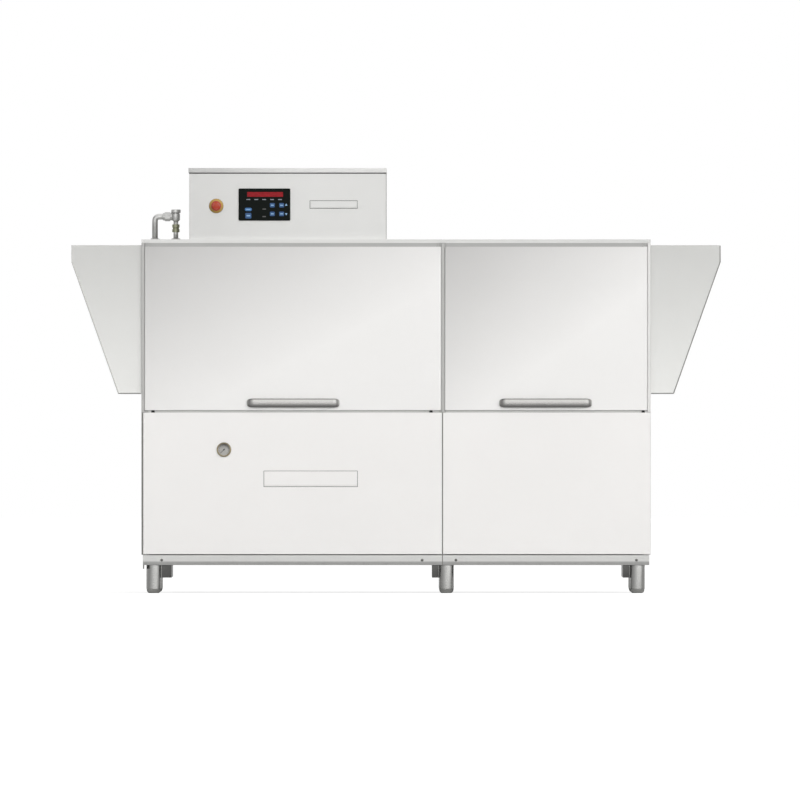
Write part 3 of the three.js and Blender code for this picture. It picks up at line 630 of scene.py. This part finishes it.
def add_handle(side):
    """A flat oval bar, bent back to the door at both ends and narrower there."""
    low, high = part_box(f"door_handle_{side}")
    left = low.x + HANDLE_BAR
    right = high.x - HANDLE_BAR
    bend_y = low.y + HANDLE_BAR + HANDLE_BEND
    z = (low.z + high.z) / 2
    route = [(left, high.y, z)]
    route += bend_points(left + HANDLE_BEND, bend_y, z, math.pi)
    route += bend_points(right - HANDLE_BEND, bend_y, z, 0.5 * math.pi)
    route.append((right, high.y, z))
    half_height = (high.z - low.z) / 2
    steps = 28
    section = []
    for i in range(steps):
        angle = 2 * math.pi * i / steps
        c = math.cos(angle)
        s = math.sin(angle)
        across = HANDLE_BAR * math.copysign(abs(c) ** 0.75, c)
        section.append((across, half_height * math.copysign(abs(s) ** 0.5, s)))

    def narrowing(i):
        """1 on the straight, less towards the feet."""
        steps_in = min(i, len(route) - 1 - i)
        share = min(1.0, steps_in / (BEND_STEPS + 1))
        return 0.52 + 0.48 * math.sin(0.5 * math.pi * share) ** 0.8

    bm = bmesh.new()
    add_sweep(bm, route, section, narrowing)
    handle = piece(f"handle_bar_{side}", bm, HANDLE_STEEL, f"door_{side}")
    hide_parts(f"door_handle_{side}")


# ------------------------------------------------------------------ control box

LABEL_PROUD = 0.25 * MM
LABEL_SUNK = 0.4 * MM


def add_label(bm, face_y, x, z, half_width, half_height, proud=LABEL_PROUD):
    """A thin raised strip on a face at face_y."""
    add_box(
        bm,
        (x - half_width, face_y - proud, z - half_height),
        (x + half_width, face_y + LABEL_SUNK, z + half_height),
    )


def add_keypad_marks():
    """Display glass, label strips and arrows, placed from the bezel's lower left, and a strip on each key."""
    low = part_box("keypad_bezel")[0]
    face = low.y
    bm = bmesh.new()
    add_box(
        bm,
        (low.x + 37 * MM, face + 0.6 * MM, low.z + 102 * MM),
        (low.x + 191 * MM, face + 1.9 * MM, low.z + 123 * MM),
    )
    piece("display_glass", bm, DISPLAY_RED, "root", bevel=0.5 * MM)
    bm = bmesh.new()
    for i in range(5):
        add_label(bm, face, low.x + (42 + 34 * i) * MM, low.z + 90.5 * MM, 8 * MM, 2 * MM)
    piece("keypad_labels", bm, LABEL_GREY, "root", bevel=0.15 * MM)
    bm = bmesh.new()
    for rise in (49.5 * MM, 17.5 * MM):
        add_label(bm, face, low.x + 110 * MM, low.z + rise, 7.5 * MM, 2.5 * MM)
    piece("keypad_dim_labels", bm, LABEL_DIM, "root", bevel=0.15 * MM)
    bm = bmesh.new()
    x = low.x + 204.5 * MM
    size = 5 * MM
    for z, up in ((low.z + 69 * MM, size), (low.z + 27 * MM, -size)):
        corners = [(x - size, z - up), (x + size, z - up), (x, z + up)]
        front = [bm.verts.new((cx, face - LABEL_PROUD, cz)) for cx, cz in corners]
        back = [bm.verts.new((cx, face + LABEL_SUNK, cz)) for cx, cz in corners]
        join_rings(bm, [front, back])
    piece("keypad_arrows", bm, KEY_LIGHT, "root", bevel=0.1 * MM)
    for key in [n for n in NODES if n.startswith("key_")]:
        low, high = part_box(key)
        middle = (low + high) / 2
        size = high - low
        bm = bmesh.new()
        add_label(bm, low.y, middle.x, middle.z, 0.30 * size.x, 0.12 * size.z, proud=0.2 * MM)
        piece(f"{key}_print", bm, KEY_LIGHT, key, bevel=0.2 * MM)


def add_raised_plate(name, x, z, width, height, face_y, steel):
    """A plain raised plate with a stepped, eased edge, on a thin dark layer a little wider than it that
    paints a shade outline round the plate.
    """
    def layer(bm, grow, front, back):
        half_width = width / 2 + grow
        half_height = height / 2 + grow
        add_box(
            bm,
            (x - half_width, face_y + front, z - half_height),
            (x + half_width, face_y + back, z + half_height),
        )

    bm = bmesh.new()
    layer(bm, 1.6 * MM, -0.8 * MM, 0.2 * MM)
    # Painted shade: the dark layer shows as an outline round the plate.
    piece(f"{name}_gasket", bm, BLACK_PLASTIC, "root", bevel=0.2 * MM)
    bm = bmesh.new()
    layer(bm, 0, -1.6 * MM, 0.2 * MM)
    layer(bm, -3 * MM, -3.2 * MM, -1.4 * MM)
    piece(name, bm, steel, "root", bevel=0.8 * MM, bevel_segments=3)


def add_emergency_stop_details():
    """Three curved direction marks round the head's face, and a black seal behind the yellow collar."""
    low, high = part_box("estop_head")
    middle = (low + high) / 2
    marks = 3
    ring_radius = 13.5 * MM
    bm = bmesh.new()
    for k in range(marks):
        start = 2 * math.pi * k / marks
        points = []
        for i in range(9):
            offset = round_point(ring_radius, start + math.radians(8 * i), 0)
            points.append((middle.x + offset.x, low.y + 2.6 * MM, middle.z + offset.y))
        add_tube(bm, points, 1.0 * MM, 8)
    piece("estop_marks", bm, LABEL_GREY, "estop_head")
    seal = [(29, 0), (31.1, 0), (31.1, 0.9), (30.8, 1.2), (30.8, 0.5), (29, 0.5), (29, 0)]
    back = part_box("estop_collar")[1].y
    bm = bmesh.new()
    add_lathe(bm, in_mm(seal), (middle.x, back + 0.2 * MM, middle.z), "-Y", 48)
    bmesh.ops.remove_doubles(bm, verts=bm.verts, dist=1e-6)
    piece("estop_seal", bm, RUBBER, "root")


# ------------------------------------------------------------------ thermometer

def add_thermometer_face():
    """A dial with a tick every 10 degrees over 270 degrees, and a longer one every 30."""
    low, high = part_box("thermometer_case")
    x = (low.x + high.x) / 2
    z = (low.z + high.z) / 2
    back = high.y - 5 * MM
    bm = bmesh.new()
    disc = [(0, 0), (25.2, 0), (25.2, 0.5), (3.4, 0.5), (0, 0.5)]
    add_lathe(bm, in_mm(disc), (x, back, z), "-Y", 48)
    piece("thermometer_dial", bm, DIAL_WHITE, "root")
    bm = bmesh.new()
    outer = 22.6 * MM
    for i in range(28):
        long_mark = i % 3 == 0
        inner = (17.5 if long_mark else 20.0) * MM
        width = (1.1 if long_mark else 0.6) * MM
        turn = Matrix.Rotation(math.radians(-135 + 10 * i), 4, "Y")
        place = Matrix.Translation((x, back - 0.6 * MM, z)) @ turn
        middle = Matrix.Translation((0, 0, (inner + outer) / 2))
        size = Matrix.Diagonal((width, 0.3 * MM, outer - inner, 1))
        bmesh.ops.create_cube(bm, size=1.0, matrix=place @ middle @ size)
    piece("thermometer_ticks", bm, BLACK_PLASTIC, "root", smooth=False)


# ------------------------------------------------------------------ rinse fill line

FLANGE = in_mm([(0, 0), (20, 0), (20.5, 1), (20.5, 4), (18, 6), (15, 7.5), (0, 7.5)])
UNION_NUT = in_mm([(0, 0), (19.5, 0), (20, 1), (20, 23), (19.5, 24), (0, 24)])
UNION_COLLAR = in_mm([(0, 0), (16, 0), (16, 40), (0, 40)])
ADAPTER = in_mm([
    (0, 0), (15, 0), (16, 1.5), (16, 13), (13, 15), (13, 19), (16, 21), (16, 32), (15, 34), (0, 34),
])
BREAKER = in_mm([
    (0, 0), (13, 0), (18, 6), (18, 30), (15, 33), (15, 35), (20.5, 36), (21, 38), (21, 48), (19, 50), (0, 51),
])


def add_fill_line():
    """Riser, elbow and run, then the vacuum breaker over its drop pipe, each with its own fittings."""
    low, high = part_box("rinse_fill_line")
    y = (low.y + high.y) / 2
    foot = low.z
    riser_x = low.x + 21 * MM
    drop_x = high.x - 21 * MM
    run_z = foot + 100.7 * MM
    bend = 17 * MM
    route = [(riser_x, y, foot), (riser_x, y, run_z - bend)]
    for i in range(1, 11):
        angle = math.pi - 0.5 * math.pi * i / 10
        route.append((riser_x + bend + bend * math.cos(angle), y, run_z - bend + bend * math.sin(angle)))
    route.append((drop_x, y, run_z))
    bm = bmesh.new()
    add_tube(bm, route, 12.5 * MM, 28)
    riser = piece("fill_riser", bm, POLISHED_STEEL, "root")
    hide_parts("rinse_fill_line")
    bm = bmesh.new()
    add_tube(bm, [(drop_x, y, foot), (drop_x, y, foot + 30 * MM), (drop_x, y, run_z)], 10.5 * MM, 24)
    piece("fill_drop_pipe", bm, POLISHED_STEEL, "root")
    bm = bmesh.new()
    for x in (riser_x, drop_x):
        add_lathe(bm, FLANGE, (x, y, foot), segments=40)
    piece("fill_flanges", bm, BOX_STEEL, "root")
    # Hexagon union nut on the run, over a round collar that shows on both sides of it.
    bm = bmesh.new()
    nut_x = riser_x + 42 * MM
    add_lathe(bm, UNION_NUT, (nut_x, y, run_z), "X", 6)
    add_lathe(bm, UNION_COLLAR, (nut_x - 8 * MM, y, run_z), "X")
    piece("fill_union_nut", bm, BOX_STEEL, "root", smooth=False, bevel=1.2 * MM)
    # Brass adapter on the drop pipe, and the vacuum breaker with its wider cap.
    bm = bmesh.new()
    add_lathe(bm, ADAPTER, (drop_x, y, foot + 33.7 * MM), segments=12)
    piece("fill_brass_adapter", bm, GREEN_BRASS, "root", bevel=0.6 * MM)
    bm = bmesh.new()
    add_lathe(bm, BREAKER, (drop_x, y, high.z - 51.2 * MM), segments=40)
    piece("fill_vacuum_breaker", bm, POLISHED_STEEL, "root")


# ------------------------------------------------------------------ strip curtains

STRIPS = 7
STRIP_ROWS = 14
STRIP_HALF_THICKNESS = 0.9 * MM
STRIP_LAYER = 1.7 * MM  # every second strip hangs this far to either side of the rod
STRIP_OVERLAP = 4 * MM
CURTAIN_INSET = 12 * MM


def add_curtain(end):
    """Overlapping vinyl strips hung from a rod, in two layers."""
    name = f"{end}_curtain"
    low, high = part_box(name)
    x = (low.x + high.x) / 2
    top = high.z - 6 * MM
    first = low.y + CURTAIN_INSET
    pitch = (high.y - low.y - 2 * CURTAIN_INSET) / STRIPS
    rng = random.Random(7)
    bm = bmesh.new()
    for i in range(STRIPS):
        layer = STRIP_LAYER if i % 2 else -STRIP_LAYER
        left = first + i * pitch - (STRIP_OVERLAP if i else 0)
        right = first + (i + 1) * pitch + (STRIP_OVERLAP if i < STRIPS - 1 else 0)
        phase = rng.uniform(0, math.pi)
        rings = []
        for r in range(STRIP_ROWS + 1):
            share = r / STRIP_ROWS
            z = top + (low.z - top) * share
            middle = x + layer + 0.8 * MM * math.sin(phase + 3.5 * share) * share
            back = middle - STRIP_HALF_THICKNESS
            front = middle + STRIP_HALF_THICKNESS
            corners = [(back, left, z), (back, right, z), (front, right, z), (front, left, z)]
            rings.append([bm.verts.new(corner) for corner in corners])
        join_rings(bm, rings)
    strips = piece(f"{end}_curtain_strips", bm, VINYL, name, smooth=False)
    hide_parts(name)
    bm = bmesh.new()
    add_tube(bm, [(x, low.y, top), (x, (low.y + high.y) / 2, top), (x, high.y, top)], 5.6 * MM)
    for i in range(STRIPS):
        y = first + (i + 0.5) * pitch
        add_tube(bm, [(x, y - 5 * MM, top), (x, y + 5 * MM, top)], 6.0 * MM)
    piece(f"{end}_curtain_rod", bm, INNER_STEEL, name)


# ------------------------------------------------------------------ screws, hems and other trim

def add_rail_screws(rail_low, rail_high, seam_x):
    """Slotted screws in the front rail, two for each module."""
    radius = 6 * MM
    half_slot = 0.16 * radius
    y = rail_low.y
    z = (rail_low.z + rail_high.z) / 2
    bm = bmesh.new()
    for x in (rail_low.x + 81 * MM, seam_x - 87 * MM, seam_x + 58 * MM, rail_high.x - 55 * MM):
        add_lathe(bm, dome_screw(radius), (x, y, z), "-Y", 20)
        top = y - DOME_RISE * radius
        add_box(
            bm,
            (x - 0.6 * radius, top - 0.05 * radius, z - half_slot),
            (x + 0.6 * radius, top + 0.12 * radius, z + half_slot),
        )
    # The screws are in the dark steel, painted shade.
    piece("rail_screws", bm, DARK_SHADE_STEEL, "root")


def add_panel_seam_shade(panel_low, panel_high):
    """Dark strips in the seam between the lower panels and down the left panel's edge: painted shade of the
    gaps.
    """
    next_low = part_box("front_panel_right")[0]
    seam = (panel_high.x + 0.4 * MM, next_low.x - 0.4 * MM)
    edge = (panel_low.x - 5 * MM, panel_low.x - 0.6 * MM)
    bm = bmesh.new()
    for left, right in (seam, edge):
        add_box(
            bm,
            (left, panel_low.y + 3 * MM, panel_low.z + 1 * MM),
            (right, panel_low.y + 18 * MM, panel_high.z - 1 * MM),
        )
    piece("panel_seam_shade", bm, DARK_SHADE_STEEL, "root", bevel=0.3 * MM)


def add_rail_joint(rail_low, rail_high, seam_x):
    """A hanger at the left end of the rail, and the dark joint between the two modules' rails, both in the
    dark steel that paints their shade.
    """
    bm = bmesh.new()
    add_box(
        bm,
        (rail_low.x + 0.5 * MM, rail_low.y + 2 * MM, rail_low.z - 16 * MM),
        (rail_low.x + 6 * MM, rail_low.y + 40 * MM, rail_low.z + 1 * MM),
    )
    add_box(
        bm,
        (seam_x - 2 * MM, rail_low.y - 0.8 * MM, rail_low.z + 0.5 * MM),
        (seam_x + 2 * MM, rail_low.y + 0.4 * MM, rail_high.z - 0.5 * MM),
    )
    piece("rail_joint", bm, DARK_SHADE_STEEL, "root", bevel=0.2 * MM)


def add_header_strips(door_high, seam_x):
    """Closing strips above the doors, between the roof's headers and the guide posts; they are in the roof
    steel, painted darker below the roof's lip as shade.
    """
    roof_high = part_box("roof_panel")[1]
    front = door_high.y + 1.2 * MM
    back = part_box("centre_wall")[0].y + 26.6 * MM
    foot = door_high.z + 1.5 * MM
    top = roof_high.z - 16 * MM
    left_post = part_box("unload_end_wall")[1].x
    right_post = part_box("load_end_wall")[0].x
    inner = 1.5 * MM
    outer = 16.5 * MM
    bm = bmesh.new()
    for left, right in (
        (left_post - outer, left_post + inner),
        (seam_x - outer, seam_x + outer),
        (right_post - inner, right_post + outer),
    ):
        add_box(bm, (left, front, foot), (right, back, top))
    piece("header_strips", bm, ROOF_STEEL, "root", bevel=0.3 * MM)


def add_rest_pads(door_low, door_high, panel_top):
    """Small rubber stops on which the doors' lower edges rest."""
    pad_top = door_low.z - panel_top - 0.6 * MM
    profile = [(0, 0), (7 * MM, 0), (7 * MM, 6 * MM), (5 * MM, pad_top), (0, pad_top)]
    far_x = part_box("door_right")[1].x
    bm = bmesh.new()
    for x in (door_low.x + 40 * MM, door_high.x - 48 * MM, far_x - 22 * MM):
        add_lathe(bm, profile, (x, door_low.y + 11 * MM, panel_top + 0.2 * MM), segments=20)
    piece("door_rest_pads", bm, RUBBER, "root")


def add_front_trim():
    rail_low, rail_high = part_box("base_rail_front")
    panel_low, panel_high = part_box("front_panel_left")
    door_low, door_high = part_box("door_left")
    seam_x = panel_high.x + 2 * MM
    add_rail_screws(rail_low, rail_high, seam_x)
    add_panel_seam_shade(panel_low, panel_high)
    add_rail_joint(rail_low, rail_high, seam_x)
    add_header_strips(door_high, seam_x)
    add_rest_pads(door_low, door_high, panel_high.z)


HOOD_FOOT = 100 * MM  # the hood's reach from the body at its lower edge
HOOD_NOSE = 300 * MM  # and at its nose
NOSE_RISE = 566 * MM  # the nose's lower corner above the hood's lower edge
HEM = 2.4 * MM


def add_hood_hems():
    """A rolled hem along each hood's open edge, and a flange where it meets the body."""
    for name, outward in (("unload_hood", -1), ("load_hood", 1)):
        low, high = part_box(name)
        body_x = high.x if outward < 0 else low.x
        foot_x = body_x + outward * (HOOD_FOOT - HEM)
        nose_x = body_x + outward * (HOOD_NOSE - HEM)
        foot_z = low.z + HEM
        nose_z = low.z + NOSE_RISE
        side_ys = (low.y + 1 * MM, high.y - 1 * MM)
        bm = bmesh.new()
        for y in side_ys:
            add_tube(bm, [(body_x + outward * 2 * MM, y, foot_z), (foot_x, y, foot_z)], HEM, 12)
        piece(f"{name}_foot_hem", bm, SHADED_HEM_STEEL, "root")
        bm = bmesh.new()
        for y in side_ys:
            add_tube(bm, [(foot_x, y, foot_z), (nose_x, y, nose_z)], HEM, 12)
            if outward > 0:
                add_tube(bm, [(nose_x, y, nose_z), (nose_x, y, high.z - 3 * MM)], HEM, 12)
        add_tube(bm, [(nose_x, side_ys[0], nose_z), (nose_x, side_ys[1], nose_z)], HEM, 12)
        # Painted shade: the load hood's nose hem gets the dark hem steel and the unload hood's the lighter
        # leg steel, as the two edges catch the light differently.
        steel = SHADED_HEM_STEEL if outward > 0 else LEG_STEEL
        piece(f"{name}_nose_hem", bm, steel, "root")
        bm = bmesh.new()
        left, right = sorted((body_x + outward * 0.2 * MM, body_x + outward * 14 * MM))
        for front in (low.y + 2.2 * MM, high.y - 3.4 * MM):
            add_box(bm, (left, front, low.z + 6 * MM), (right, front + 1.2 * MM, high.z - 4 * MM))
        piece(f"{name}_flange", bm, HOOD_STEEL, "root", bevel=0.3 * MM)


LOUVRE = [(0, 8), (2.5, 6), (5.5, -4), (4.5, -6), (0, -6)]  # (out of the case, up) in millimetres
LOUVRE_COLUMNS = 3
LOUVRE_ROWS = 7
LOUVRE_LENGTH = 175 * MM


def add_box_trim():
    """Louvres in the back of the case, a black strip under its lid that paints the shadow of the lid's edge,
    and a turned edge down its right side in the dark steel that paints its shade.
    """
    low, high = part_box("control_box_case")
    bm = bmesh.new()
    face = high.y - 0.2 * MM
    for column in range(LOUVRE_COLUMNS):
        left = low.x + (120 + 215 * column) * MM
        for row in range(LOUVRE_ROWS):
            z = low.z + (70 + 24 * row) * MM
            ends = [
                [bm.verts.new((x, face + out * MM, z + up * MM)) for out, up in LOUVRE]
                for x in (left, left + LOUVRE_LENGTH)
            ]
            join_rings(bm, ends)
    piece("box_louvres", bm, BOX_STEEL, "root", smooth=False, bevel=0.5 * MM)
    lid_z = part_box("control_box_lid")[0].z
    bm = bmesh.new()
    add_box(
        bm,
        (low.x - 1.2 * MM, low.y - 1.2 * MM, high.z - 4 * MM),
        (high.x + 1.2 * MM, low.y - 0.1 * MM, lid_z - 0.2 * MM),
    )
    piece("lid_gasket", bm, RUBBER, "root", bevel=0.2 * MM)
    bm = bmesh.new()
    add_box(
        bm,
        (high.x - 0.2 * MM, low.y + 1 * MM, low.z + 1 * MM),
        (high.x + 2.2 * MM, low.y + 16 * MM, high.z - 5 * MM),
    )
    piece("box_edge", bm, DARK_SHADE_STEEL, "root", bevel=0.3 * MM)


REAR_SCREWS = 12


def add_rear_trim():
    """A cover strip over the joint between the modules, and strips with screws along the top and foot."""
    low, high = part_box("rear_panel")
    wall_low, wall_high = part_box("centre_wall")
    seam_x = (wall_low.x + wall_high.x) / 2
    sunk = high.y - 0.1 * MM
    bm = bmesh.new()
    add_box(
        bm,
        (seam_x - 20 * MM, sunk, low.z + 10 * MM),
        (seam_x + 20 * MM, high.y + 1.5 * MM, high.z - 10 * MM),
    )
    strip_face = high.y + 1.2 * MM
    for z in (low.z + 4 * MM, high.z - 24 * MM):
        add_box(bm, (low.x + 4 * MM, sunk, z), (high.x - 4 * MM, strip_face, z + 20 * MM))
    piece("rear_strips", bm, BOX_STEEL, "root", bevel=0.5 * MM)
    bm = bmesh.new()
    edge = 50 * MM
    for i in range(REAR_SCREWS):
        x = low.x + edge + i * (high.x - low.x - 2 * edge) / (REAR_SCREWS - 1)
        for z in (low.z + 14 * MM, high.z - 14 * MM):
            add_lathe(bm, dome_screw(4 * MM), (x, strip_face, z), "-Y", 16)
    # The screw heads were turned towards the doors: mirror them to face the rear.
    for vert in bm.verts:
        vert.co.y = 2 * strip_face - vert.co.y
    piece("rear_screws", bm, LEG_STEEL, "root")


def add_everything():
    paint_shade_gradients()
    finish_all_nodes()
    finish_leg_frames()
    add_handle("left")
    add_handle("right")
    add_keypad_marks()
    low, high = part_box("control_box_case")
    centre = (high.x - 225 * MM, low.z + 149.7 * MM)
    add_raised_plate("raised_plate_box", *centre, 202 * MM, 32 * MM, low.y, BOX_STEEL)
    low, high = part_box("front_panel_left")
    centre = (low.x + 718 * MM, low.z + 323 * MM)
    add_raised_plate("raised_plate_panel", *centre, 400 * MM, 66 * MM, low.y, PANEL_STEEL)
    add_emergency_stop_details()
    add_thermometer_face()
    add_fill_line()
    add_curtain("unload")
    add_curtain("load")
    add_front_trim()
    add_hood_hems()
    add_box_trim()
    add_rear_trim()


bpy.context.scene.view_settings.view_transform = "Standard"
add_camera()
add_world()
add_floor()
add_area_light("key", place=(3.0, -4.5, 4.2), target=(0.0, -0.35, 0.8), size=2.5, power=90)
add_everything()
